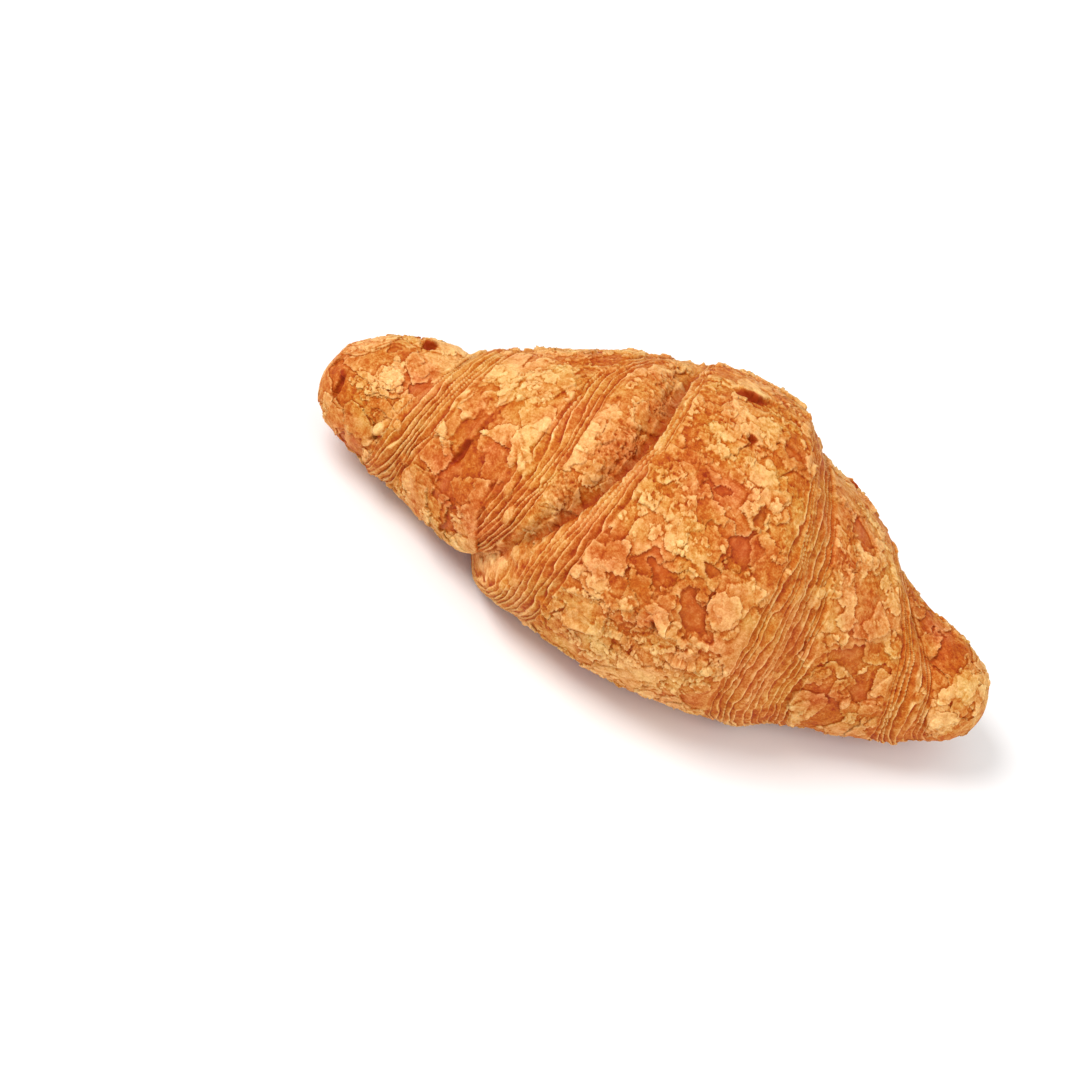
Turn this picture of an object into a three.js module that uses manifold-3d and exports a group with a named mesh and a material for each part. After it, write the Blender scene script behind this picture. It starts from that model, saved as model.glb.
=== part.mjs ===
// A straight butter croissant, baked in one piece and lying on its flat underside.
//
// Frame: millimetres, +Z up, the underside at z = 0, the length along X, the front towards -Y.
// The dough was a long triangle rolled up from its wide end, so its two free edges run round the
// roll as spirals, one to each end. A spiral is the step from one turn of the dough down to the
// next, and the last step on each side closes the blunt knob at that end.

import * as THREE from 'three';
import { mergeVertices } from 'three/addons/utils/BufferGeometryUtils.js';
import Module from 'manifold-3d';

// Overall size
const LENGTH = 162;
const BELLY_HALF_WIDTH = 37;
const BELLY_HEIGHT = 61;
const FLAT_CUT = 1.6; // how much of the round underside the baking tray flattened

// The knobs stand a little clear of the tray and lie behind the belly
const KNOB_LIFT = 2.8;
const KNOB_SET_BACK = 4.5;

// The belly is the thickest place, and the roll thins from it towards each knob
const BELLY_X = 5.5;
const CENTRE_SHARE = 0.47; // height of a section's widest line, as a share of its own height
const LOWER_SQUARENESS = 2.5; // superellipse exponent below that line, where 2 is an ellipse

// For each side of the belly, reach is the distance to where the knob's own thickness starts and
// fullness shapes the taper (smaller is fuller). freeEdge is the spiral: pairs of an angle round
// the roll, in degrees from its top over the front, and the edge's distance from EDGE_MIDDLE_X.
// It starts underneath, where the tip of the triangle is tucked in. Sealed is how much of the step
// has baked flat behind the top. The knob's end is rounded over capLength and bends forwards.
const LEFT = {
  towards: -1,
  reach: 61,
  fullness: 0.52,
  knobHalfWidth: 16.6,
  knobHeight: 30,
  stepWidth: 3.4,
  creaseDepth: 3,
  stepHeight: 3.6,
  sealed: 0.75,
  capLength: 27,
  tipBend: 3,
  freeEdge: [
    [-170, 1], [-100, 8], [-30, 13], [25, 15.5], [70, 25], [120, 34],
    [180, 42], [270, 50], [310, 54], [385, 63], [430, 67], [540, 68],
  ],
};
const RIGHT = {
  towards: 1,
  reach: 60,
  fullness: 0.72,
  knobHalfWidth: 14.4,
  knobHeight: 27,
  stepWidth: 10,
  creaseDepth: 0,
  stepHeight: 3.2,
  sealed: 0,
  capLength: 23,
  tipBend: 0,
  freeEdge: [
    [-170, 1], [-100, 9], [-30, 16.5], [10, 24], [50, 29], [120, 32],
    [180, 36], [270, 41], [335, 46], [390, 59], [480, 64], [540, 66],
  ],
};
const SIDES = [LEFT, RIGHT];

// The steps at the free edges, which turn into the knob's own step at the last turn
const EDGE_MIDDLE_X = 4;
const KNOB_STEP_HEIGHT = 2.4;
const KNOB_STEP_WIDTH = 4;
const STEP_REACH = 12; // along the roll, how far a step's swelling and the hollow below it go
const EDGE_FADE_IN = 40; // degrees over which the tucked tip rises out of the underside
const EDGE_FADE_OUT = 80;
const KNOB_STEP_FROM = 150; // degrees where the outer step starts to turn into the knob's step
const KNOB_STEP_TO = 240;
const SEALED_AT = -75; // degrees
const SEALED_WIDTH = 50;
const CREASE_FROM = -60; // the open crease on the left runs from behind the top over the front
const CREASE_FULL_AT = -10;
const CREASE_WIDTH = 3.2;
const CREASE_OFFSET = 1.8; // it lies just past the step

// Where the dough swelled or stayed hollow as it baked: a place on the crust, how far it reaches
// along the roll and round it, and how far it stands out
const LUMPS = [
  { x: 27, degrees: -46, along: 8, around: 14, height: -2.2 },
  { x: -76, degrees: -46, along: 6, around: 9, height: -1.6 },
  { x: 39.5, degrees: 134, along: 6, around: 8, height: 1.6 },
];

// Facets
const CROWDED_END = 23; // the rows crowd together over this much of each end
const ROWS = 82;
const AROUND = 50;

const HALF_LENGTH = LENGTH / 2;
const TURN = 360;
const CRUST_COLOUR = 0xd68444;

const clamp01 = (value) => Math.min(1, Math.max(0, value));

const smoothStep = (value) => {
  const t = clamp01(value);
  return t * t * (3 - 2 * t);
};

const mix = (from, to, share) => from + (to - from) * share;

const bump = (distance, width) => Math.exp(-((distance / width) ** 2));

// The height of a smooth curve through the points, each an [along, height] pair, at a place along.
function curveAt(points, along) {
  const last = points.length - 1;
  const slope = (i) => {
    const [beforeAlong, beforeHeight] = points[Math.max(0, i - 1)];
    const [afterAlong, afterHeight] = points[Math.min(last, i + 1)];
    return (afterHeight - beforeHeight) / (afterAlong - beforeAlong);
  };
  const above = points.findIndex((point) => point[0] > along);
  const i = above < 0 ? last - 1 : Math.max(0, above - 1);
  const [startAlong, start] = points[i];
  const [endAlong, end] = points[i + 1];
  const span = endAlong - startAlong;
  const t = clamp01((along - startAlong) / span);
  const rise = t * t * (3 - 2 * t);
  const leaving = t * (1 - t) ** 2 * span * slope(i);
  const arriving = t * t * (t - 1) * span * slope(i + 1);
  return mix(start, end, rise) + leaving + arriving;
}

// Place along X of a row of vertices, with the rows evenly spaced over the round end caps too.
function rowX(share) {
  const capArc = (CROWDED_END * Math.PI) / 2;
  const capArcShare = capArc / (LENGTH - 2 * CROWDED_END + 2 * capArc);
  const fromEnd = Math.min(share, 1 - share) / capArcShare;
  const inCap = CROWDED_END * (1 - Math.cos((fromEnd * Math.PI) / 2));
  const pastCap = CROWDED_END + (fromEnd - 1) * capArc;
  const distance = fromEnd < 1 ? inCap : pastCap;
  return share < 0.5 ? distance - HALF_LENGTH : HALF_LENGTH - distance;
}

const sideAt = (x) => (x < BELLY_X ? LEFT : RIGHT);

// 1 at the belly, falling to 0 where a knob starts.
function bellyShare(x) {
  const side = sideAt(x);
  const turn = Math.min(1, Math.abs(x - BELLY_X) / side.reach);
  return (0.5 + 0.5 * Math.cos(Math.PI * turn)) ** side.fullness;
}

// 0 up to the round end cap, growing to 1 at the tip.
function intoCap(x) {
  return clamp01((Math.abs(x) - HALF_LENGTH) / sideAt(x).capLength + 1);
}

// How far one pass of a free edge makes the crust stand out. The angle grows on from turn to turn.
function passRelief(side, x, wrapped) {
  const beyond = side.towards * (x - EDGE_MIDDLE_X) - curveAt(side.freeEdge, wrapped);
  const shown = smoothStep((wrapped - side.freeEdge[0][0]) / EDGE_FADE_IN)
    * smoothStep((side.freeEdge.at(-1)[0] - wrapped) / EDGE_FADE_OUT);
  const atKnob = smoothStep((wrapped - KNOB_STEP_FROM) / (KNOB_STEP_TO - KNOB_STEP_FROM));
  const flattened = 1 - side.sealed * bump(wrapped - SEALED_AT, SEALED_WIDTH);
  const height = mix(side.stepHeight, KNOB_STEP_HEIGHT, atKnob) * flattened;
  const width = mix(side.stepWidth, KNOB_STEP_WIDTH, atKnob);
  const step = height * (0.5 - smoothStep(beyond / width + 0.5)) * bump(beyond, STEP_REACH);
  const open = (1 - atKnob) * smoothStep((wrapped - CREASE_FROM) / (CREASE_FULL_AT - CREASE_FROM));
  const crease = side.creaseDepth * open * bump(beyond - CREASE_OFFSET, CREASE_WIDTH);
  return shown * (step - crease);
}

// How far the crust stands out from the smooth form: each turn swells up to its free edge, and the
// turn below it starts from a hollow.
function edgeRelief(x, degrees) {
  let relief = 0;
  for (const side of SIDES) {
    relief += passRelief(side, x, degrees);
    relief += passRelief(side, x, degrees + TURN);
  }
  return relief;
}

// How far the lumps and hollows make the crust stand out.
function lumpRelief(x, degrees, radius) {
  let relief = 0;
  for (const lump of LUMPS) {
    const arc = THREE.MathUtils.degToRad(degrees - lump.degrees) * radius;
    relief += lump.height * bump(x - lump.x, lump.along) * bump(arc, lump.around);
  }
  return relief;
}

// A point of the crust, before the underside is cut flat.
function crustPoint(x, degrees) {
  const belly = bellyShare(x);
  const knob = sideAt(x);
  const cap = Math.sqrt(1 - intoCap(x) ** 2);
  const height = mix(knob.knobHeight, BELLY_HEIGHT + FLAT_CUT, belly);
  const lowest = mix(KNOB_LIFT, -FLAT_CUT, Math.sqrt(belly));
  const centreZ = lowest + CENTRE_SHARE * height;
  const centreY = KNOB_SET_BACK * (1 - belly) - knob.tipBend * intoCap(x) ** 2;
  const radius = mix(knob.knobHalfWidth, BELLY_HALF_WIDTH, belly);
  const relief = edgeRelief(x, degrees) + lumpRelief(x, degrees, radius);
  const halfWidth = (radius + relief) * cap;
  const up = ((1 - CENTRE_SHARE) * height + relief) * cap;
  const down = (CENTRE_SHARE * height + relief) * cap;
  const angle = THREE.MathUtils.degToRad(degrees);
  const sine = Math.sin(angle);
  const cosine = Math.cos(angle);
  if (cosine >= 0) {
    return new THREE.Vector3(x, centreY - halfWidth * sine, centreZ + up * cosine);
  }
  const power = 2 / LOWER_SQUARENESS;
  const across = Math.sign(sine) * Math.abs(sine) ** power;
  return new THREE.Vector3(x, centreY - halfWidth * across, centreZ - down * Math.abs(cosine) ** power);
}

// A sphere's grid of vertices, with its poles at the two tips, moved onto the crust.
function makeCrust() {
  const geometry = new THREE.SphereGeometry(1, AROUND, ROWS);
  const { position, uv } = geometry.attributes;
  for (let i = 0; i < position.count; i += 1) {
    const row = Math.round(uv.getY(i) * ROWS);
    const isTip = row === 0 || row === ROWS;
    const column = isTip ? 0 : Math.round(uv.getX(i) * AROUND) % AROUND;
    const point = crustPoint(rowX(row / ROWS), (column / AROUND) * TURN - TURN / 2);
    position.setXYZ(i, point.x, point.y, point.z);
  }
  geometry.deleteAttribute('normal');
  geometry.deleteAttribute('uv');
  return mergeVertices(geometry);
}

const wasm = await Module();
wasm.setup();

function toSolid(geometry) {
  return new wasm.Manifold(new wasm.Mesh({
    numProp: 3,
    vertProperties: new Float32Array(geometry.attributes.position.array),
    triVerts: new Uint32Array(geometry.index.array),
  }));
}

function toGeometry(solid) {
  const { vertProperties, triVerts } = solid.getMesh();
  const geometry = new THREE.BufferGeometry();
  geometry.setAttribute('position', new THREE.BufferAttribute(vertProperties, 3));
  geometry.setIndex(new THREE.BufferAttribute(triVerts, 1));
  geometry.computeVertexNormals();
  return geometry;
}

// Everything above the baking tray, as a block that holds the whole croissant.
function makeSpaceAboveTray() {
  const side = 2 * LENGTH;
  const block = new THREE.BoxGeometry(side, side, side);
  block.translate(0, 0, side / 2);
  block.deleteAttribute('normal');
  block.deleteAttribute('uv');
  return mergeVertices(block);
}

// The origin is under the middle of the whole croissant, knobs and belly together.
function makeCroissant() {
  const solid = toSolid(makeCrust()).intersect(toSolid(makeSpaceAboveTray()));
  const geometry = toGeometry(solid);
  geometry.computeBoundingBox();
  geometry.translate(0, -geometry.boundingBox.getCenter(new THREE.Vector3()).y, 0);
  const material = new THREE.MeshStandardMaterial({ color: CRUST_COLOUR, roughness: 0.6, metalness: 0 });
  const croissant = new THREE.Mesh(geometry, material);
  croissant.name = 'croissant';
  return croissant;
}

const part = new THREE.Group();
part.add(makeCroissant());

export default part;
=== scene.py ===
"""The crust of a straight butter croissant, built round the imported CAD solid.

Lengths are in millimetres at the CAD model's size until the mesh is made, in metres. A place on
the crust is x along the roll and an angle round it, in degrees from the top over the front.
"""

import math

import bpy
import numpy as np
from mathutils import Matrix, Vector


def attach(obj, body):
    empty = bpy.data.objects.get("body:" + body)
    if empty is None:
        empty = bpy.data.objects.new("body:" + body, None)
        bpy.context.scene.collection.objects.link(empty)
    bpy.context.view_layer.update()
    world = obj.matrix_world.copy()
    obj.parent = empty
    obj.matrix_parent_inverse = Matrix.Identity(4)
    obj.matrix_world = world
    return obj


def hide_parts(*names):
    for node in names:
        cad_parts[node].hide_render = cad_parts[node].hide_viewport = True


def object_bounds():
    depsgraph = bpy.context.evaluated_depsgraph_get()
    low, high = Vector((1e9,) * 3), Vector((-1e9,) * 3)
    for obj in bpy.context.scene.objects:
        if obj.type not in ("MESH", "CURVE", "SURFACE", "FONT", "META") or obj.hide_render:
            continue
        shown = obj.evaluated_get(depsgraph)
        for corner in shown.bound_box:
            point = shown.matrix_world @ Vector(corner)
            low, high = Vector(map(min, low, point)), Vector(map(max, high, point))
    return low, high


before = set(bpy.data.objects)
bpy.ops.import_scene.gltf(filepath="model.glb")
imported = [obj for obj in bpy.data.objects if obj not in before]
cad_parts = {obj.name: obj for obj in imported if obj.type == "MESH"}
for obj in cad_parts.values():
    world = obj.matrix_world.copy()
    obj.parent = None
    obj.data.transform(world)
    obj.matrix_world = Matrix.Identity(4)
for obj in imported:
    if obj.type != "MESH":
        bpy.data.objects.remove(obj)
cad_low, cad_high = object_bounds()

# ---------------------------------------------------------------- driving dimensions

MM = 0.001
LENGTH = (cad_high.x - cad_low.x) / MM
HALF_LENGTH = LENGTH / 2
BELLY_HEIGHT = (cad_high.z - cad_low.z) / MM - 0.6
BELLY_HALF_WIDTH = (cad_high.y - cad_low.y) / MM / 2 - 0.8
FLAT_CUT = 1.6  # how much of the roll the flat underside takes off
KNOB_LIFT = 2.8
KNOB_SET_BACK = 4.5
BELLY_X = 5.5
CENTRE_SHARE = 0.47  # the roll's centre line is this share of the way up
LOWER_SQUARENESS = 2.5
ROW_CAP = 23  # rows crowd together over this much of each end
TIP_REACH = 0.15  # from the last ring of points to the tip

# Each side's taper, knob and free edge: angle round the roll, then distance from EDGE_MIDDLE_X.
# Angles above 180 are the sheet's next time round.
EDGE_MIDDLE_X = 4
LEFT = {
    "towards": -1,
    "reach": 61,
    "fullness": 0.52,
    "knob_half_width": 16.6,
    "knob_height": 30,
    "step_width": 3.4,
    "crease": 3.0,
    "step": 3.6,
    "sealed": 0.75,
    "cap": 27,
    "bend": 3,
    "edge": [
        (-170, 1), (-100, 8), (-30, 13), (25, 15.5), (70, 25), (120, 34),
        (180, 42), (270, 50), (310, 54), (385, 63), (430, 67), (540, 68),
    ],
}
RIGHT = {
    "towards": 1,
    "reach": 60,
    "fullness": 0.72,
    "knob_half_width": 14.4,
    "knob_height": 27,
    "step_width": 10,
    "crease": 0.0,
    "step": 3.2,
    "sealed": 0,
    "cap": 23,
    "bend": 0,
    "edge": [
        (-170, 1), (-100, 9), (-30, 16.5), (10, 24), (50, 29), (120, 32),
        (180, 36), (270, 41), (335, 46), (390, 59), (480, 64), (540, 66),
    ],
}
KNOB_STEP = 2.4
KNOB_STEP_WIDTH = 4
STEP_REACH = 12
CREASE_SET_OUT = 1.8
CREASE_WIDTH = 3.2

# Where the free edges change as they go round the roll, and over how many degrees
TUCKED_AT, TUCK_BLEND = -170, 40
ENDS_AT, END_BLEND = 540, 80
KNOB_AT, KNOB_BLEND = 150, 90
OPENS_AT, OPEN_BLEND = -60, 50
SEALED_AT, SEAL_BLEND = -75, 50

# Swellings and hollows: place along, angle, reach along and round, and height
LUMPS = [(27, -46, 8, 14, -2.2), (-76, -46, 6, 9, -1.6), (39.5, 134, 6, 8, 1.6)]

ROWS = 900
AROUND = 660
WAY_ALONG = LENGTH + 25  # over the crust from tip to tip
WAY_ROUND = 215  # round the belly


# ---------------------------------------------------------------- numbers and noise


def smooth(value):
    t = np.clip(value, 0, 1)
    return t * t * (3 - 2 * t)


def bump(distance, width):
    return np.exp(-((distance / width) ** 2))


def mix(low, high, share):
    return low + (high - low) * share


def curve_at(points, along):
    """The height of a smooth curve through (along, height) points."""
    xs, ys = np.array(points, float).T
    slopes = np.gradient(ys) / np.gradient(xs)
    i = np.clip(np.searchsorted(xs, along, side="right") - 1, 0, len(xs) - 2)
    span = xs[i + 1] - xs[i]
    t = np.clip((along - xs[i]) / span, 0, 1)
    leaving = t * (1 - t) ** 2 * span * slopes[i]
    arriving = t * t * (t - 1) * span * slopes[i + 1]
    return mix(ys[i], ys[i + 1], smooth(t)) + leaving + arriving


class Lattice:
    """Repeatable random numbers at the corners of a cubic lattice."""

    SIZE = 256

    def __init__(self, seed):
        random = np.random.default_rng(seed)
        self.order = random.permutation(self.SIZE).astype(np.int32)
        arrows = random.normal(size=(self.SIZE, 3))
        self.arrows = (arrows / np.linalg.norm(arrows, axis=1)[:, None]).astype(np.float32)
        self.places = random.random((self.SIZE, 3)).astype(np.float32)
        self.values = random.random(self.SIZE).astype(np.float32)

    def at(self, i, j, k):
        """The table row of each lattice corner."""
        last = self.SIZE - 1
        row = self.order[i & last]
        row = self.order[(row + j) & last]
        return self.order[(row + k) & last]


def gradient_noise(points, seed):
    """Smooth noise of about -1 to 1, with features about one unit across."""
    lattice = Lattice(seed)
    base = np.floor(points)
    inside = (points - base).astype(np.float32)
    i, j, k = (base[..., axis].astype(np.int32) for axis in range(3))
    fade = inside**3 * (inside * (inside * 6 - 15) + 10)
    total = np.zeros(points.shape[:-1], np.float32)
    for a in (0, 1):
        for b in (0, 1):
            for c in (0, 1):
                arrow = lattice.arrows[lattice.at(i + a, j + b, k + c)]
                dot = (
                    arrow[..., 0] * (inside[..., 0] - a)
                    + arrow[..., 1] * (inside[..., 1] - b)
                    + arrow[..., 2] * (inside[..., 2] - c)
                )
                weight = (
                    (fade[..., 0] if a else 1 - fade[..., 0])
                    * (fade[..., 1] if b else 1 - fade[..., 1])
                    * (fade[..., 2] if c else 1 - fade[..., 2])
                )
                total += dot * weight
    return total * 1.6


def fractal(points, size, octaves, seed, gain=0.5):
    """Noise whose largest features are size mm across."""
    total = 0
    reach = 0
    for octave in range(octaves):
        share = gain**octave
        total = total + share * gradient_noise(points * (2**octave / size), seed + octave)
        reach += share
    return total / reach**0.7


def cells(points, size, seed):
    """A random number for the cell that each point is in, and its distance from the border."""
    lattice = Lattice(seed)
    scaled = points / size
    base = np.floor(scaled).astype(np.int32)
    nearest = np.full(points.shape[:-1], 9.0, np.float32)
    second = nearest.copy()
    value = np.zeros_like(nearest)
    for a in (-1, 0, 1):
        for b in (-1, 0, 1):
            for c in (-1, 0, 1):
                row = lattice.at(base[..., 0] + a, base[..., 1] + b, base[..., 2] + c)
                centre = lattice.places[row] + base + (a, b, c)
                away = np.sqrt(((scaled - centre) ** 2).sum(-1)).astype(np.float32)
                closer = away < nearest
                second = np.where(closer, nearest, np.minimum(second, away))
                value = np.where(closer, lattice.values[row], value)
                nearest = np.where(closer, away, nearest)
    return value, (second - nearest) * size


def blur(field, rows, columns):
    """Mean over a box of samples, which wraps round the roll and stops at its ends."""
    for _ in range(2):
        padded = np.pad(field, ((rows + 1, rows), (0, 0)), mode="edge")
        total = np.cumsum(padded, axis=0)
        field = (total[2 * rows + 1 :] - total[: -2 * rows - 1]) / (2 * rows + 1)
        padded = np.pad(field, ((0, 0), (columns + 1, columns)), mode="wrap")
        total = np.cumsum(padded, axis=1)
        field = (total[:, 2 * columns + 1 :] - total[:, : -2 * columns - 1]) / (2 * columns + 1)
    return field


# ---------------------------------------------------------------- the form, as in CAD


def row_places():
    """Places along the roll, evenly spaced over the round end caps too."""
    share = np.linspace(0, 1, ROWS + 1)[1:-1]
    cap_arc = ROW_CAP * math.pi / 2
    cap_share = cap_arc / (LENGTH - 2 * ROW_CAP + 2 * cap_arc)
    from_end = np.minimum(share, 1 - share) / cap_share
    in_cap = ROW_CAP * (1 - np.cos(np.minimum(from_end, 1) * math.pi / 2))
    distance = np.where(from_end < 1, in_cap, ROW_CAP + (from_end - 1) * cap_arc)
    return np.where(share < 0.5, distance - HALF_LENGTH, HALF_LENGTH - distance)


def by_side(x, name):
    return np.where(x < BELLY_X, LEFT[name], RIGHT[name])


def belly_share(x):
    """1 at the belly's thickest place and 0 at the knobs."""
    turn = np.minimum(1, np.abs(x - BELLY_X) / by_side(x, "reach"))
    return (0.5 + 0.5 * np.cos(math.pi * turn)) ** by_side(x, "fullness")


def beyond_edge(side, x, wrapped):
    """Distance past a free edge, towards the side's tip."""
    return side["towards"] * (x - EDGE_MIDDLE_X) - curve_at(side["edge"], wrapped)


def edge_shown(wrapped):
    """The tucked tip rises out of the underside, and the last turn fades out at the tip."""
    rising = smooth((wrapped - TUCKED_AT) / TUCK_BLEND)
    return rising * smooth((ENDS_AT - wrapped) / END_BLEND)


def edge_relief(x, degrees):
    """The step down at each free edge, and the crease that is open beside the left one."""
    relief = np.zeros_like(x)
    for side in (LEFT, RIGHT):
        for wrapped in (degrees, degrees + 360):
            beyond = beyond_edge(side, x, wrapped)
            at_knob = smooth((wrapped - KNOB_AT) / KNOB_BLEND)
            height = mix(side["step"], KNOB_STEP, at_knob)
            height = height * (1 - side["sealed"] * bump(wrapped - SEALED_AT, SEAL_BLEND))
            width = mix(side["step_width"], KNOB_STEP_WIDTH, at_knob)
            step = height * (0.5 - smooth(beyond / width + 0.5)) * bump(beyond, STEP_REACH)
            opened = (1 - at_knob) * smooth((wrapped - OPENS_AT) / OPEN_BLEND)
            crease = side["crease"] * opened * bump(beyond - CREASE_SET_OUT, CREASE_WIDTH)
            relief = relief + edge_shown(wrapped) * (step - crease)
    return relief


def lump_relief(x, degrees, radius):
    """The few swellings and hollows of this roll."""
    relief = np.zeros_like(x)
    for place, angle, along, around, height in LUMPS:
        arc = np.radians(degrees - angle) * radius
        relief += height * bump(x - place, along) * bump(arc, around)
    return relief


def crust_points(x, degrees):
    """The points of the form's surface, with its free edges but none of its flakes."""
    belly = belly_share(x)
    cap_length = by_side(x, "cap")
    into_cap = np.clip((np.abs(x) - HALF_LENGTH) / cap_length + 1, 0, 1)
    cap = np.sqrt(np.maximum(0, 1 - into_cap**2))
    height = mix(by_side(x, "knob_height"), BELLY_HEIGHT + FLAT_CUT, belly)
    lowest = mix(KNOB_LIFT, -FLAT_CUT, np.sqrt(belly))
    centre_z = lowest + CENTRE_SHARE * height
    centre_y = KNOB_SET_BACK * (1 - belly) - by_side(x, "bend") * into_cap**2
    radius = mix(by_side(x, "knob_half_width"), BELLY_HALF_WIDTH, belly)
    relief = edge_relief(x, degrees) + lump_relief(x, degrees, radius)
    half_width = (radius + relief) * cap
    up = ((1 - CENTRE_SHARE) * height + relief) * cap
    down = (CENTRE_SHARE * height + relief) * cap
    sine = np.sin(np.radians(degrees))
    cosine = np.cos(np.radians(degrees))
    power = 2 / LOWER_SQUARENESS
    across = np.sign(sine) * np.abs(sine) ** np.where(cosine < 0, power, 1)
    above = np.where(cosine < 0, -down * np.abs(cosine) ** power, up * cosine)
    return np.stack([x, centre_y - half_width * across, centre_z + above], axis=-1)


# ---------------------------------------------------------------- what shows on the crust

SHEET_SPACING = 1.32
SHEET_DROP = 0.22  # share of the spacing over which a sheet's edge falls to the next sheet
SHEET_STRETCH = 0.12  # a sheet changes this much more slowly along itself than from the next
DEGREE_ROUND = 0.45  # about how far one degree is, in mm

# Bundles of thin sheet edges. Each has a side, the distances past the free edge where it begins
# and ends at angles round the roll, how far the sheets stand out, how much each hangs over the
# next, how much paler than the rest of the crust they are, and a seed.
BUNDLES = [
    {   # the slope of fine ridges right of the middle band, fanning out towards the front
        "side": RIGHT,
        "begin": [(-170, -1), (-100, -4), (-30, -5), (10, -5.5), (50, -8), (120, -11), (180, -7),
                  (270, -4), (335, -5), (390, -7), (480, -8), (540, -5)],
        "end": [(-170, 1), (-100, 4), (-30, 5.5), (10, 6), (50, 7.5), (120, 9), (180, 6),
                (270, 4), (335, 3), (390, 3.5), (480, 5), (540, 3)],
        "stands": 1.1, "hangs": 0.35, "pale": 0.06, "seed": 11,
    },
    {   # the slats on the middle band's left edge, wide at the front and pinched at the top
        "side": LEFT,
        "begin": [(-170, -2), (-30, -3), (25, -4), (70, -9), (120, -15), (180, -11), (270, -6),
                  (310, -7), (385, -9), (430, -10), (540, -5)],
        "end": [(-170, 0), (-30, 0.4), (25, 0.4), (70, 0.5), (120, 0.5), (180, 0.5), (270, 0.5),
                (310, 0.5), (385, 0.5), (430, 0.5), (540, 0.5)],
        "stands": 1.1, "hangs": 0.35, "pale": 0.14, "seed": 23,
    },
    {   # the thin sheets on the far side of the open crease
        "side": LEFT,
        "begin": [(-170, 2), (-60, 3), (-10, 12), (25, 12), (70, 5), (110, 2.5), (180, 2),
                  (540, 2)],
        "end": [(-170, 2.5), (-60, 8), (-10, 19), (25, 21), (70, 17), (110, 5), (180, 2.5),
                (540, 2.5)],
        "stands": 0.9, "hangs": 0.3, "pale": 0.06, "seed": 37,
    },
]

# Patches seen on the crust: place along the roll, angle, half-length, half-width in mm and the
# turn of the long way from the roll's axis in degrees. A patch fades from 1 in its middle to
# PATCH_EDGE at the oval's edge.
PATCH_EDGE = 0.37
WINDOWS = [  # where the top flakes broke away from a smooth, darker layer
    (13, 67, 5.0, 3.2, 60), (1, 58, 4.5, 2.8, 40), (16, 38, 3.6, 2.2, 30),
    (6.5, 24, 2.4, 1.8, 0), (16, -4, 1.6, 2.8, 90), (-10.5, 31, 1.9, 1.6, 0),
    (12.5, 50, 2.2, 1.4, 30), (16.6, 26, 1.8, 2.0, 0), (-45.6, 60, 1.3, 3.2, 10),
    (-46, 78, 0.8, 3.4, 5), (-41.9, 104, 1.0, 3.4, 10), (-35.5, 60, 1.6, 2.6, 20),
    (38, -10, 3.4, 2.6, 20), (47, 48, 3.0, 2.6, 70), (54, 72, 2.6, 1.8, 60),
    (64, -13, 3.2, 2.6, 0), (-59.5, 24, 2.0, 3.6, 40), (-70, 112, 2.4, 3.0, 0),
    (-69.4, -6, 2.4, 1.8, 0), (-12.4, 70, 1.0, 1.0, 0), (-46.5, 39, 1.8, 3.0, 30),
    (2, -40, 5.0, 2.0, 0), (22, -62, 4.0, 3.0, 30), (-38, -70, 4.0, 3.0, 50),
    (10, -100, 5.0, 3.0, 20), (54, -90, 3.0, 3.0, 0), (-18, -110, 4.0, 3.0, 60),
    (-58, -100, 3.0, 3.0, 0),
]
UNBROKEN = [  # where the flakes are large, smooth and a little redder
    (-39, 66, 9.0, 9.0, 0), (-32, 92, 5.0, 7.0, 0), (-47, 34, 4.0, 5.0, 0),
    (6.4, 24, 4.0, 3.4, 0), (45, 27, 4.0, 6.0, 0), (38, -9, 5.0, 4.0, 20),
    (64, -12, 5.0, 5.0, 0), (17, 39, 5.0, 4.4, 0), (2, 58, 6.5, 4.4, 20),
    (13, 67, 7.0, 5.0, 40), (-8, 61, 5.4, 6.0, 20), (19, 57, 4.5, 5.0, 0),
    (6, 71, 5.0, 5.0, 50), (-59, 24, 4.0, 5.0, 0), (-70, 108, 4.0, 5.0, 0),
    (48, 92, 4.0, 6.0, 0), (-30, -60, 9.0, 6.0, 0), (14, -75, 9.0, 7.0, 0),
    (45, -70, 6.0, 6.0, 0), (-62, -70, 5.0, 6.0, 0),
]
COVERED = [  # where the pale top layer is whole
    (4, -8, 8.0, 5.0, 0), (14, 8, 5.0, 3.0, 20), (-36, -6, 8.0, 4.0, 0),
    (-22, -34, 7.0, 4.0, 0), (73, 26, 3.6, 5.0, 20), (-67.6, 44, 3.0, 3.0, 0),
    (-69.4, 70, 2.0, 3.4, 0), (40, 2, 2.2, 1.0, 20), (62, -50, 3.0, 2.0, 0),
    (-30, 30, 8.0, 3.0, 0), (-28, -90, 8.0, 5.0, 0), (38, -100, 5.0, 5.0, 0),
    (2, -66, 7.0, 4.0, 0), (-4, 92, 6.0, 4.0, 0), (29, 20, 2.0, 7.0, 10),
]
LOOSE = [  # single large flakes that lie over all the others
    (2, -28, 10.0, 4.4, -12), (-8, 64, 4.2, 4.8, 20), (6, 75, 4.0, 3.2, 30),
    (19, 61, 3.4, 3.6, 10), (74, 30, 4.0, 5.0, 20), (-34, 22, 5.0, 3.0, 30),
    (40, 60, 3.0, 3.6, 0), (-20, -80, 6.0, 5.0, 20),
]
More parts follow.
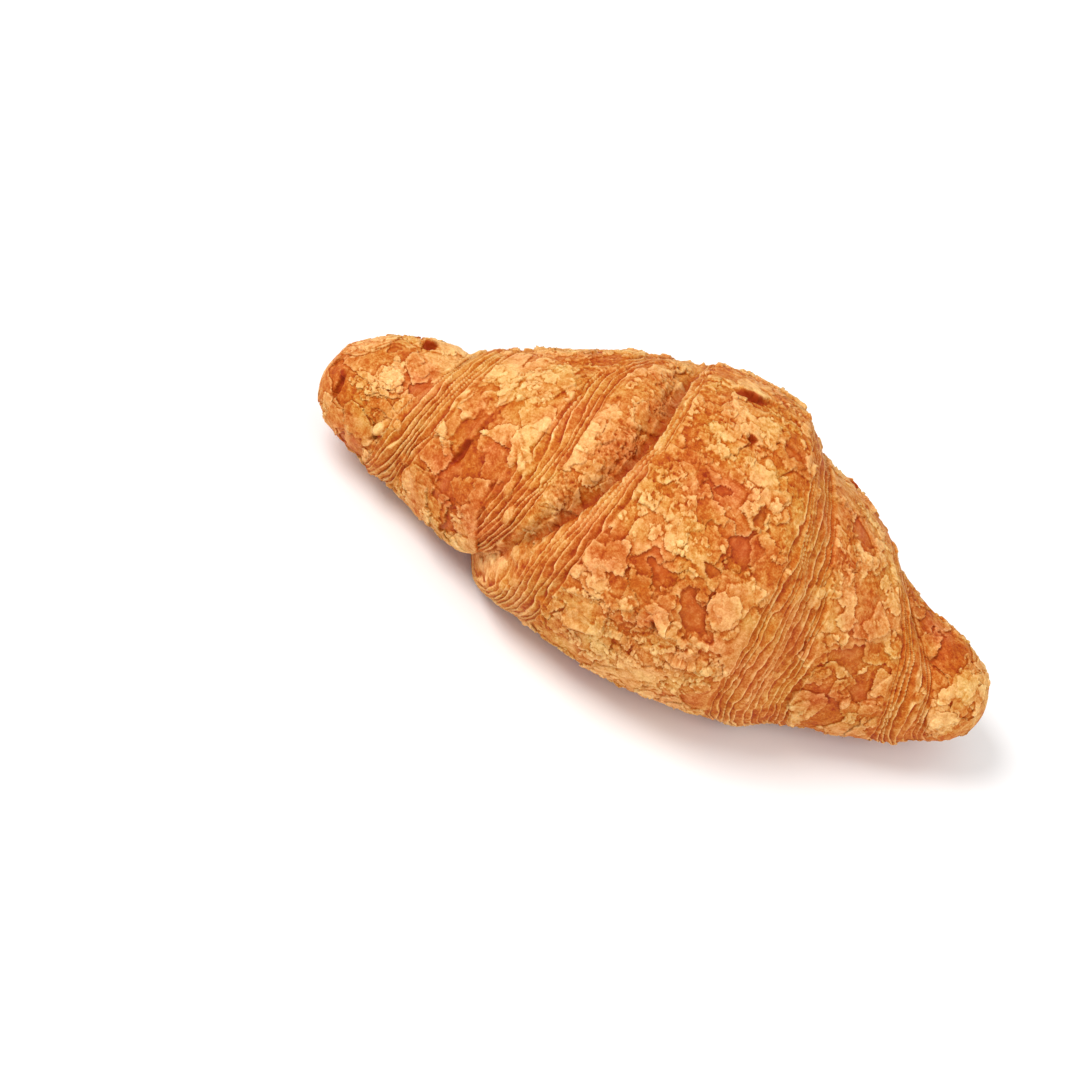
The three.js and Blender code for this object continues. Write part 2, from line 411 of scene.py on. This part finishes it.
HOLES = [  # openings under a lifted flake, which lies towards smaller angles, with painted shade in them
    (3.4, -18, 4.4, 1.3, -12), (7.1, 2, 1.3, 0.8, 20), (-46, 55, 0.9, 3.4, 8),
    (-7, 96, 4.2, 0.8, -15), (17, 90, 4.0, 0.7, -8), (-62.9, -20, 1.8, 1.1, 0),
    (-64.4, 84, 0.8, 1.8, 15), (-76.4, 60, 0.7, 3.0, 0), (32, -58, 2.4, 0.8, 10),
    (-28, -95, 3.4, 0.8, 20), (8.6, 79, 2.6, 0.7, 20),
]
FLAKY_MIDDLE = (5, 62, 20, 24, 0)  # where small flakes lie thickest
BROWNED = (1, 43, 9, 7, 20)  # where the top of the belly baked darker
CRUMB = [  # the torn, fibrous dough inside the open crease
    (-13.6, -10, 4.4, 9.0, -12), (-16.4, 24, 4.4, 7.0, -10), (-23, 48, 3.0, 5.0, -25),
]


class Crust:
    """The grid of the crust's points, with what has been found out about each so far."""

    WARP_SIZE = 2.8
    WANDER_SIZE = 3.5
    WANDER = 0.7
    LEAST_RADIUS = 4

    def __init__(self):
        places = row_places()
        angles = np.arange(AROUND) * 360 / AROUND - 180
        self.x, self.angle = np.meshgrid(places, angles, indexing="ij")
        self.points = crust_points(self.x, self.angle)
        middle = (self.points[..., 1].min() + self.points[..., 1].max()) / 2
        self.points[..., 1] -= middle
        self.measure()
        self.height = np.zeros_like(self.x)  # outwards
        self.along = np.zeros_like(self.x)  # sideways, towards +X
        self.around = np.zeros_like(self.x)  # sideways, towards a larger angle
        self.warped = self.points + np.stack(
            [fractal(self.points, self.WARP_SIZE, 3, seed) for seed in (101, 111, 121)], axis=-1
        )
        self.wander = [
            self.WANDER * fractal(self.points, self.WANDER_SIZE, 3, seed) for seed in (131, 141)
        ]

    def measure(self):
        """Directions and spacings at each point."""
        by_row = np.gradient(self.points, axis=0)
        by_column = (np.roll(self.points, -1, axis=1) - np.roll(self.points, 1, axis=1)) / 2
        self.row_step = np.linalg.norm(by_row, axis=-1) + 1e-6
        self.column_step = np.linalg.norm(by_column, axis=-1) + 1e-6
        self.to_tip = by_row / self.row_step[..., None]
        self.to_front = by_column / self.column_step[..., None]
        out = np.cross(self.to_front, self.to_tip)
        self.out = out / (np.linalg.norm(out, axis=-1)[..., None] + 1e-9)
        self.radius = self.column_step * AROUND / (2 * math.pi)

    def samples(self, millimetres):
        """How many rows and columns that distance spans, on the belly."""
        rows = max(1, round(millimetres * ROWS / WAY_ALONG))
        columns = max(1, round(millimetres * AROUND / WAY_ROUND))
        return rows, columns

    def within(self, place):
        """Each point's distance from a ragged oval's middle, as shares of its two half-sizes."""
        x, angle, half_length, half_width, turn = place
        along = self.x - x
        round_by = (self.angle - angle + 180) % 360 - 180
        around = np.radians(round_by) * np.maximum(self.radius, self.LEAST_RADIUS)
        sine, cosine = math.sin(math.radians(turn)), math.cos(math.radians(turn))
        long_way = (along * cosine + around * sine) / half_length
        across = (around * cosine - along * sine) / half_width
        return long_way + self.wander[0], across + self.wander[1]

    def patches(self, places, beside=0.0):
        """How strong the patches are, each moved that many half-widths towards smaller angles."""
        total = np.zeros_like(self.x)
        for place in places:
            long_way, across = self.within(place)
            total = np.maximum(total, np.exp(-(long_way**2) - (across + beside) ** 2))
        return total


def add_bundles(crust, looks):
    """Thin sheets seen edge on, each a slope that ends in a sharp, slightly lifted edge."""
    for bundle in BUNDLES:
        side = bundle["side"]
        seed = bundle["seed"]
        ragged = fractal(crust.points, 3.6, 2, seed + 3)
        overlaid = fractal(crust.points * (1.3, 0.8, 0.8), 7.0, 3, seed + 7)
        for wrapped in (crust.angle, crust.angle + 360):
            begin = curve_at(bundle["begin"], wrapped)
            end = curve_at(bundle["end"], wrapped)
            beyond = beyond_edge(side, crust.x, wrapped)
            lengthwise = wrapped * DEGREE_ROUND
            stretched = lengthwise * SHEET_STRETCH
            lane = np.stack([beyond, stretched, np.full_like(beyond, seed)], axis=-1)
            sway = fractal(lane, 4.0, 2, seed)
            loose = fractal(lane * (1, 1.4, 1), 2.4, 2, seed + 5)
            tint = fractal(lane * (1, 2, 1), 1.4, 2, seed + 9)
            share = (beyond - begin) / (end - begin)
            share = share + 0.03 * fractal(crust.points, 5.0, 2, seed + 1)
            wide = smooth((end - begin) / 3 - 0.4)
            inside = edge_shown(wrapped) * wide * smooth(share / 0.14) * smooth((1 - share) / 0.12)
            inside = inside * smooth((overlaid + 0.55) / 0.3)
            phase = share * (end - begin) / SHEET_SPACING + 1.1 * sway + 0.2 * ragged
            step = phase - np.floor(phase)
            strength = inside * np.clip(0.85 + 0.9 * loose, 0.2, 1.6)
            falling = smooth((1 - step) / SHEET_DROP)
            profile = (step**2.2 - 0.45) * falling - 0.45 * (1 - falling)
            crust.height += strength * bundle["stands"] * profile
            crest = smooth((step - 0.5) / 0.3) * falling
            crust.along += strength * bundle["hangs"] * side["towards"] * crest
            # Each sheet's paler crest is a painted highlight, and the darker groove below it is
            # painted shade.
            crest_highlight = smooth((step - 0.66) / 0.16)
            groove = smooth((0.4 - step) / 0.3)
            lines = 0.66 * crest_highlight - 0.42 * groove + 0.26 * tint + bundle["pale"]
            looks["tone"] += strength * lines
            bundled = inside * np.clip(1.1 + 0.8 * loose, 0, 1)
            looks["bundled"] = np.maximum(looks["bundled"], bundled)
            looks["groove_shade"] = np.maximum(looks["groove_shade"], strength * groove)


def add_flakes(crust, looks, mask, thickness, lift, rim, pale, seed):
    """A layer of flakes over the crust below: flat plates with lifted, overhanging rims."""
    soft = blur(mask, *crust.samples(rim))
    curl = np.clip(0.45 + 1.3 * fractal(crust.points, 5.0, 2, seed), 0, 1.6)
    at_rim = mask * np.clip((1 - soft) * 2, 0, 1) ** 1.5
    at_foot = (1 - mask) * np.clip(soft * 2, 0, 1)
    crust.height += mask * thickness + at_rim * lift * curl - at_foot * 0.1
    slope_x = np.gradient(soft, axis=0) / crust.row_step
    slope_round = (np.roll(soft, -1, axis=1) - np.roll(soft, 1, axis=1)) / 2 / crust.column_step
    steepness = np.sqrt(slope_x**2 + slope_round**2) + 1e-4
    overhang = at_rim * np.minimum(1, 0.4 + curl) * rim * 0.45
    crust.along -= overhang * slope_x / steepness
    crust.around -= overhang * slope_round / steepness
    looks["tone"] += pale * (mask - 0.5)
    # A painted highlight along each flake's rim, and painted shadow on the crust at its foot.
    looks["rim"] = np.maximum(looks["rim"] * (1 - 0.5 * mask), at_rim * np.minimum(1, 0.35 + curl))
    looks["foot_shadow"] = np.maximum(looks["foot_shadow"] * (1 - mask), at_foot)


# Layers of flakes, deepest first: plate size in mm, share of the field that is plates with
# straight breaks rather than ragged noise, the level above which it is covered, thickness, how
# far the rim lifts, the rim's width, how much paler it is than what lies below, and a seed.
LAYERS = [
    (12.0, 0.80, 0.34, 0.30, 0.20, 0.8, 0.10, 301),
    (9.0, 0.80, 0.50, 0.26, 0.40, 0.8, 0.12, 311),
    (6.0, 0.75, 0.58, 0.20, 0.35, 0.6, 0.10, 321),
    (3.4, 0.65, 0.68, 0.13, 0.22, 0.5, 0.09, 331),
    (1.8, 0.45, 0.74, 0.10, 0.08, 0.4, 0.08, 341),
]

# The single large flakes, by the same measures as a layer
LOOSE_LIE = 0.7  # how much of the relief below them is flattened
LOOSE_FLAKES = {"thickness": 0.15, "lift": 0.35, "rim": 0.8, "pale": 0.02, "seed": 351}

SMALL_PLATES = 5  # layers of plates below this size come off where the crust is unbroken
THROAT_BESIDE = 0.7  # half-widths from an opening's middle to the middle of its painted shade
LIP_BESIDE = 1.9  # and to the lifted lip over it
UNDERSIDE_AT, UNDERSIDE_BLEND = 128, 20

# The deep line inside the crease, past the left free edge, which is also painted dark as shade
FOLD_SET_OUT, FOLD_WIDTH, FOLD_DEPTH = 0.9, 0.6, 1.8
FOLD_FROM, FOLD_FROM_BLEND = -45, 25
FOLD_TO, FOLD_TO_BLEND = 95, 30

SWELL_HEIGHT = 0.55
BLISTER_HEIGHT = 0.55
CRACK_WIDTH = 0.2
CRACK_DEPTH = 0.14
CRUMB_HEIGHT = 0.5
FIBRE_DEPTH = 1.3
HOLE_DEPTH = 1.3
LIP_OVERHANG = 0.8
WRINKLE_DEPTH = 0.07
BAKING_DEPTH = 0.12  # of the underside


class Marks:
    """How strongly each kind of mark shows at each point of the crust."""

    def __init__(self, crust):
        self.underside = smooth((np.abs(crust.angle) - UNDERSIDE_AT) / UNDERSIDE_BLEND)
        self.windows = crust.patches(WINDOWS)
        self.covers = crust.patches(COVERED)
        self.unbroken = smooth(1.6 * crust.patches(UNBROKEN))
        self.loose = smooth((crust.patches(LOOSE) - PATCH_EDGE) / 0.05)
        self.holes = smooth(crust.patches(HOLES) * 1.5 - 0.3)
        self.throat_shade = smooth(crust.patches(HOLES, THROAT_BESIDE) * 1.6 - 0.4)
        self.lips = smooth(crust.patches(HOLES, LIP_BESIDE) * 1.5 - 0.2)
        self.flaky = crust.patches([FLAKY_MIDDLE])
        self.browned = crust.patches([BROWNED])
        crumb = crust.patches(CRUMB)
        self.crumb = crumb * smooth(2 * crumb)
        self.fibres = np.abs(fractal(crust.warped * (1.0, 1.5, 1.5), 1.5, 3, 401, 0.6))
        fold = smooth((crust.angle - FOLD_FROM) / FOLD_FROM_BLEND)
        fold = fold * smooth((FOLD_TO - crust.angle) / FOLD_TO_BLEND)
        past_edge = beyond_edge(LEFT, crust.x, crust.angle)
        self.fold = fold * bump(past_edge - FOLD_SET_OUT, FOLD_WIDTH)
        self.patchy = fractal(crust.points, 11.0, 2, 221)


def add_swells(crust):
    """Hand-shaped lumps, then blisters."""
    crust.height += SWELL_HEIGHT * fractal(crust.points, 17.0, 2, 201)
    blisters = fractal(crust.points * (1.2, 0.8, 0.8), 6.0, 2, 211)
    crust.height += BLISTER_HEIGHT * np.maximum(0, blisters + 0.1)


def add_layers(crust, looks, marks, open_crust):
    """The layers of flakes, then the single large ones."""
    for size, straight, bare, thickness, lift, rim, pale, seed in LAYERS:
        value, border = cells(crust.warped * (0.85, 1, 1), size, seed)
        ragged = 0.5 + 0.5 * fractal(crust.warped, size * 0.55, 4, seed + 3, 0.6)
        field = mix(ragged, value, straight) + 0.24 * marks.covers - 0.52 * marks.windows
        field = field + 0.1 * marks.patchy - 0.4 * marks.crumb
        if size < SMALL_PLATES:
            broken = 0.08 * marks.flaky - 0.28 * marks.covers - 0.3 * marks.unbroken
            field += broken + 0.1 * marks.patchy
        mask = smooth((field - bare) / 0.04) * open_crust * (1 - 0.5 * marks.underside)
        own_tone = (value * 57.3) % 1 - 0.5  # as random as the value, but not in step with it
        looks["tone"] += 0.2 * own_tone * mask * smooth(size / 4)
        add_flakes(crust, looks, mask, thickness, lift, rim, pale, seed + 5)
        cracks = smooth((CRACK_WIDTH - border) / 0.18) * np.clip(0.4 + marks.patchy, 0, 1)
        cracks = cracks * (1 - marks.windows)
        crust.height -= CRACK_DEPTH * cracks * open_crust
        # Painted shade in the cracks, added to the painted shadow at the flakes' feet.
        looks["foot_shadow"] = np.maximum(looks["foot_shadow"], 0.6 * cracks * open_crust)
    below = blur(crust.height, *crust.samples(1.5))
    crust.height = mix(crust.height, below, LOOSE_LIE * marks.loose)
    add_flakes(crust, looks, marks.loose, **LOOSE_FLAKES)


def add_openings(crust, marks):
    """Torn dough and a deep line in the crease, openings under flakes and a fine wrinkled skin."""
    crust.height += marks.crumb * (CRUMB_HEIGHT - FIBRE_DEPTH * marks.fibres)
    crust.height -= FOLD_DEPTH * marks.fold
    crust.height += marks.lips * (1 - marks.holes) - HOLE_DEPTH * marks.holes
    crust.around += LIP_OVERHANG * marks.lips * (1 - marks.holes)
    wrinkles = WRINKLE_DEPTH * fractal(crust.warped, 1.3, 2, 411)
    crust.height += wrinkles * (1 - 0.6 * marks.windows)


def crust_tone(crust, looks, marks, open_crust):
    """How pale the crust is, from 0 to 1, before its finest mottling, with painted highlights and
    painted shade in it.
    """
    tone = 0.51 + looks["tone"]
    mottled = 0.13 * fractal(crust.points, 9.0, 2, 501)
    fine = 0.17 * fractal(crust.warped, 2.6, 4, 511, 0.65)
    tone += mottled + fine * (0.5 + 0.5 * open_crust)
    skin = 0.06 * marks.covers + 0.1 * marks.windows - 0.05 * marks.unbroken
    # Paler along the flake rims: a painted highlight.
    tone += skin - 0.16 * marks.browned + 0.32 * looks["rim"]
    # Paler lifted lips are a painted highlight; darker flake feet, cracks, openings, their throats
    # and the fold are painted shade.
    opened = 0.15 * marks.lips - 0.34 * looks["foot_shadow"] - 0.3 * marks.holes
    tone += opened - 0.6 * marks.throat_shade - 0.45 * marks.fold
    tone = mix(tone, 0.66 - 1.2 * marks.fibres, np.clip(marks.crumb * 1.2, 0, 0.8))
    return 0.5 + 0.4 * np.tanh((tone - 0.5) / 0.4)


def crust_redness(crust, marks):
    """Where the crust is of the redder hue, from 0 to 1."""
    redness = 0.38 + 0.55 * fractal(crust.points, 9.0, 3, 521)
    redness = redness + 0.25 * marks.unbroken + 0.3 * marks.windows
    return redness - 0.2 * marks.covers + 0.3 * marks.crumb


def move_points(crust):
    """Moves the points by the relief found, and keeps the underside flat but for its baking."""
    shift = np.clip(crust.height, -4, 3)[..., None] * crust.out
    shift += crust.along[..., None] * crust.to_tip
    shift += crust.around[..., None] * crust.to_front
    into_tip = smooth((HALF_LENGTH - np.abs(crust.x)) / 3)[..., None]
    crust.points = crust.points + shift * into_tip
    baked = BAKING_DEPTH * (1 + fractal(crust.points * (1, 1, 0), 4.0, 3, 421))
    crust.points[..., 2] = np.maximum(crust.points[..., 2], baked)


def dress(crust):
    """Gives the crust its final relief and returns what the material needs at each point."""
    looks = {name: np.zeros_like(crust.x) for name in ("tone", "bundled", "groove_shade", "rim", "foot_shadow")}
    add_swells(crust)
    add_bundles(crust, looks)
    open_crust = 1 - 0.92 * looks["bundled"]
    marks = Marks(crust)
    add_layers(crust, looks, marks, open_crust)
    add_openings(crust, marks)
    tone = crust_tone(crust, looks, marks, open_crust)
    redness = crust_redness(crust, marks)
    move_points(crust)
    # Where shade is painted: the grooves between sheets, the openings' throats and the fold.
    deep = np.maximum(0.4 * looks["groove_shade"], 1.2 * marks.throat_shade) + 0.7 * marks.fold
    return {
        "tone": np.clip(tone, 0, 1),
        "redness": np.clip(redness, 0, 1),
        "deep": np.clip(deep, 0, 1),
        "smoothness": np.clip(marks.windows * (1 - looks["rim"]), 0, 1),
        "underside": marks.underside * smooth((2.5 - crust.points[..., 2]) / 2),
    }


# ---------------------------------------------------------------- the mesh


def tip_points(crust):
    """The points of both tips, which the caps' rows run up to."""
    return [
        crust.points[0].mean(axis=0) - (TIP_REACH, 0, 0),
        crust.points[-1].mean(axis=0) + (TIP_REACH, 0, 0),
    ]


def make_mesh(crust, found):
    rows, columns = crust.x.shape
    tips = tip_points(crust)
    points = np.concatenate([crust.points.reshape(-1, 3), np.array(tips)])
    row, column = np.meshgrid(np.arange(rows - 1), np.arange(columns), indexing="ij")
    row, column = row.ravel(), column.ravel()
    beside = (column + 1) % columns
    quads = np.stack(
        [row * columns + column, row * columns + beside, (row + 1) * columns + beside,
         (row + 1) * columns + column], axis=1
    )
    ring = np.arange(columns)
    next_ring = (ring + 1) % columns
    left_fan = np.stack([np.full(columns, rows * columns), next_ring, ring], axis=1)
    last = (rows - 1) * columns
    right_tip = np.full(columns, rows * columns + 1)
    right_fan = np.stack([right_tip, last + ring, last + next_ring], axis=1)
    corners = np.concatenate([quads.ravel(), left_fan.ravel(), right_fan.ravel()])
    sizes = np.concatenate([np.full(len(quads), 4), np.full(2 * columns, 3)])

    # the bake's UV map: along the roll across, round it upwards
    across = (row + 1) / (rows + 1)
    further = (row + 2) / (rows + 1)
    low, high = column / columns, (column + 1) / columns
    quad_uvs = np.stack([across, low, across, high, further, high, further, low], axis=1)
    ring_low, ring_high = ring / columns, (ring + 1) / columns
    middle = (ring_low + ring_high) / 2
    first, after = np.full(columns, 1 / (rows + 1)), np.full(columns, rows / (rows + 1))
    left_uvs = np.stack([0 * middle, middle, first, ring_high, first, ring_low], axis=1)
    right_uvs = np.stack([0 * middle + 1, middle, after, ring_low, after, ring_high], axis=1)
    uvs = np.concatenate([quad_uvs.ravel(), left_uvs.ravel(), right_uvs.ravel()])

    mesh = bpy.data.meshes.new("croissant_crust")
    mesh.vertices.add(len(points))
    mesh.vertices.foreach_set("co", (points * MM).astype(np.float32).ravel())
    mesh.loops.add(len(corners))
    mesh.loops.foreach_set("vertex_index", corners.astype(np.int32))
    mesh.polygons.add(len(sizes))
    starts = np.concatenate([[0], np.cumsum(sizes)[:-1]])
    mesh.polygons.foreach_set("loop_start", starts.astype(np.int32))
    mesh.polygons.foreach_set("loop_total", sizes.astype(np.int32))
    mesh.update(calc_edges=True)
    mesh.validate()
    layer = mesh.uv_layers.new(name="OFBake")
    layer.data.foreach_set("uv", uvs.astype(np.float32))
    for name, field in found.items():
        attribute = mesh.attributes.new(name, "FLOAT", "POINT")
        at_tips = [field[0].mean(), field[-1].mean()]
        values = np.concatenate([field.ravel(), at_tips]).astype(np.float32)
        attribute.data.foreach_set("value", values)
    mesh.shade_smooth()
    return mesh


# ---------------------------------------------------------------- the material


def colour(red, green, blue):
    """A linear colour from sRGB numbers of 0 to 255."""
    def linear(channel):
        channel /= 255
        return channel / 12.92 if channel <= 0.04045 else ((channel + 0.055) / 1.055) ** 2.4

    return (linear(red), linear(green), linear(blue), 1)


class Nodes:
    """Short ways to add shader nodes to one material."""

    def __init__(self, name):
        self.material = bpy.data.materials.new(name)
        self.material.use_nodes = True
        self.tree = self.material.node_tree
        self.shader = self.tree.nodes["Principled BSDF"]

    def add(self, kind, **settings):
        node = self.tree.nodes.new(kind)
        for name, value in settings.items():
            setattr(node, name, value)
        return node

    def join(self, source, target):
        if isinstance(source, (int, float, tuple)):
            target.default_value = source
        else:
            self.tree.links.new(source, target)

    def attribute(self, name):
        return self.add("ShaderNodeAttribute", attribute_name=name).outputs["Fac"]

    def math(self, operation, first, second, clamp=False):
        node = self.add("ShaderNodeMath", operation=operation, use_clamp=clamp)
        self.join(first, node.inputs[0])
        self.join(second, node.inputs[1])
        return node.outputs[0]

    def noise(self, position, scale, detail, roughness):
        node = self.add("ShaderNodeTexNoise")
        self.join(position, node.inputs["Vector"])
        node.inputs["Scale"].default_value = scale
        node.inputs["Detail"].default_value = detail
        node.inputs["Roughness"].default_value = roughness
        return node.outputs["Fac"]

    def spread(self, value, low, high):
        """0 at low, 1 at high, held outside them."""
        node = self.add("ShaderNodeMapRange")
        self.join(value, node.inputs["Value"])
        node.inputs["From Min"].default_value = low
        node.inputs["From Max"].default_value = high
        return node.outputs["Result"]

    def blend(self, share, first, second):
        node = self.add("ShaderNodeMix", data_type="RGBA")
        self.join(share, node.inputs["Factor"])
        self.join(first, node.inputs["A"])
        self.join(second, node.inputs["B"])
        return node.outputs["Result"]

    def ramp(self, share, stops):
        node = self.add("ShaderNodeValToRGB")
        self.join(share, node.inputs["Fac"])
        elements = node.color_ramp.elements
        while len(elements) < len(stops):
            elements.new(0.5)
        for element, (place, tint) in zip(elements, stops):
            element.position = place
            element.color = tint
        return node.outputs["Color"]


# From the darkest crust to the palest flakes
GOLDEN = [
    (0.0, colour(156, 50, 0)),
    (0.25, colour(187, 101, 14)),
    (0.45, colour(204, 143, 62)),
    (0.65, colour(221, 172, 102)),
    (0.85, colour(238, 193, 122)),
    (1.0, colour(248, 206, 142)),
]
REDDISH = [
    (0.0, colour(142, 38, 0)),
    (0.25, colour(177, 73, 12)),
    (0.45, colour(200, 109, 52)),
    (0.65, colour(219, 143, 86)),
    (0.85, colour(236, 173, 108)),
    (1.0, colour(246, 195, 134)),
]
# The dark colour painted in as shade.
PAINTED_SHADE_COLOUR = colour(150, 46, 0)
BROWN_UNDERSIDE = colour(164, 82, 34)
SCATTER_RADIUS = (0.0020, 0.0008, 0.0003)


def crust_material():
    """Browned crust in two hues, with mottling, flecks, painted shade and a fine relief."""
    n = Nodes("baked_crust")
    place = n.add("ShaderNodeTexCoord").outputs["Object"]
    mottle = n.noise(place, scale=620, detail=5, roughness=0.68)
    grain = n.noise(place, scale=2300, detail=3, roughness=0.65)
    flecks = n.noise(place, scale=1500, detail=3, roughness=0.6)
    flecks = n.spread(flecks, low=0.54, high=0.66)
    sparse = n.noise(place, scale=210, detail=2, roughness=0.5)
    sparse = n.spread(sparse, low=0.42, high=0.62)

    # how pale: each flake's own tone with fine mottling over it
    fine = n.math("ADD", mottle, n.math("MULTIPLY", grain, 0.6))
    even = n.math("MULTIPLY", n.attribute("smoothness"), 0.5)
    mottling = n.math("MULTIPLY", n.math("SUBTRACT", fine, 0.82), n.math("SUBTRACT", 1.0, even))
    level = n.math("ADD", n.attribute("tone"), mottling)
    pale_flecks = n.math("MULTIPLY", n.math("MULTIPLY", flecks, sparse), 0.16)
    level = n.math("ADD", level, pale_flecks, clamp=True)
    golden = n.ramp(level, GOLDEN)
    reddish = n.ramp(level, REDDISH)
    base = n.blend(n.attribute("redness"), golden, reddish)
    # Painted shade: the colour darkens in the grooves between sheets, the openings' throats and
    # the fold.
    base = n.blend(n.math("MULTIPLY", n.attribute("deep"), 0.85), base, PAINTED_SHADE_COLOUR)
    base = n.blend(n.math("MULTIPLY", n.attribute("underside"), 0.7), base, BROWN_UNDERSIDE)
    n.join(base, n.shader.inputs["Base Color"])

    glossier = n.math("MULTIPLY", n.attribute("smoothness"), 0.22)
    n.join(n.math("SUBTRACT", 0.68, glossier), n.shader.inputs["Roughness"])
    n.shader.inputs["Specular IOR Level"].default_value = 0.16
    n.shader.inputs["Subsurface Weight"].default_value = 0.1
    n.shader.inputs["Subsurface Radius"].default_value = SCATTER_RADIUS
    n.shader.inputs["Subsurface Scale"].default_value = 1.0

    relief = n.math("ADD", n.math("MULTIPLY", mottle, 0.7), n.math("MULTIPLY", grain, 0.3))
    bump_node = n.add("ShaderNodeBump")
    bump_node.inputs["Strength"].default_value = 0.45
    bump_node.inputs["Distance"].default_value = 0.0005
    n.join(relief, bump_node.inputs["Height"])
    n.join(bump_node.outputs["Normal"], n.shader.inputs["Normal"])
    return n.material


def plain_material(name, tint, roughness):
    n = Nodes(name)
    n.shader.inputs["Base Color"].default_value = tint
    n.shader.inputs["Roughness"].default_value = roughness
    return n.material


# ---------------------------------------------------------------- the croissant

crust = Crust()
found = dress(crust)
croissant = bpy.data.objects.new("croissant_crust", make_mesh(crust, found))
bpy.context.scene.collection.objects.link(croissant)
croissant.data.materials.append(crust_material())
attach(croissant, "root")
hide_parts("croissant")

# ---------------------------------------------------------------- floor, light and camera

# In metres and degrees, but for the camera's aim in mm
FLOOR_DROP = 0.0001
FLOOR_HALF = 4.0
FLOOR_COLOUR = (0.93, 0.93, 0.93, 1)
SKY_STRENGTH = 0.72
CAMERA_ELEVATION = 46
CAMERA_ROLL = 28
CAMERA_DISTANCE = 1.1
LENS = 170
AIM_FROM = (2, -0.88, 30)
AIM_LEFT = 30.0
AIM_DOWN = 4.75
LIT_PLACE = (0, 0, 0.03)

# Each light's place from the object towards the camera, upwards and to the right as the camera
# sees them, then its diameter and power
LIGHTS = {
    "key": (0.85, 0.75, -0.3, 0.6, 9.2),
    "fill": (0.7, -0.25, 0.7, 0.9, 3.2),
}


def unit(vector):
    return np.array(vector, float) / np.linalg.norm(vector)


def facing(right, up, back):
    """The rotation that turns a camera's or a light's own axes to these."""
    return Matrix([[right[i], up[i], back[i]] for i in range(3)]).to_euler()


def area_light(name, place, size, power):
    light = bpy.data.lights.new(name, "AREA")
    light.shape = "DISK"
    light.size = size
    light.energy = power
    holder = bpy.data.objects.new(name, light)
    bpy.context.scene.collection.objects.link(holder)
    holder.location = place
    back = unit(np.array(place) - np.array(LIT_PLACE))
    right = unit(np.cross((0, 0, 1), back))
    holder.rotation_euler = facing(right, np.cross(back, right), back)


floor_mesh = bpy.data.meshes.new("floor")
floor_mesh.from_pydata(
    [(-FLOOR_HALF, -FLOOR_HALF, 0), (FLOOR_HALF, -FLOOR_HALF, 0),
     (FLOOR_HALF, FLOOR_HALF, 0), (-FLOOR_HALF, FLOOR_HALF, 0)],
    [], [(0, 1, 2, 3)],
)
floor = bpy.data.objects.new("floor", floor_mesh)
floor.location.z = -FLOOR_DROP
bpy.context.scene.collection.objects.link(floor)
floor_mesh.materials.append(plain_material("white_table", FLOOR_COLOUR, 0.9))

world = bpy.data.worlds.new("studio")
world.use_nodes = True
background = world.node_tree.nodes["Background"]
background.inputs["Color"].default_value = (1, 1, 1, 1)
background.inputs["Strength"].default_value = SKY_STRENGTH
bpy.context.scene.world = world

elevation = math.radians(CAMERA_ELEVATION)
roll = math.radians(CAMERA_ROLL)
back = np.array([0, -math.cos(elevation), math.sin(elevation)])
level_right = np.array([1.0, 0, 0])
level_up = np.array([0, math.sin(elevation), math.cos(elevation)])
right = math.cos(roll) * level_right + math.sin(roll) * level_up
up = -math.sin(roll) * level_right + math.cos(roll) * level_up
aim = np.array(AIM_FROM) - AIM_LEFT * right - AIM_DOWN * up

for name, (nearer, above, beside, size, power) in LIGHTS.items():
    area_light(name, tuple(nearer * back + above * up + beside * right), size, power)

camera_data = bpy.data.cameras.new("camera")
camera_data.lens = LENS
camera = bpy.data.objects.new("camera", camera_data)
bpy.context.scene.collection.objects.link(camera)
camera.location = tuple(aim * MM + back * CAMERA_DISTANCE)
camera.rotation_euler = facing(right, up, back)
bpy.context.scene.camera = camera
bpy.context.scene.view_settings.view_transform = "Standard"
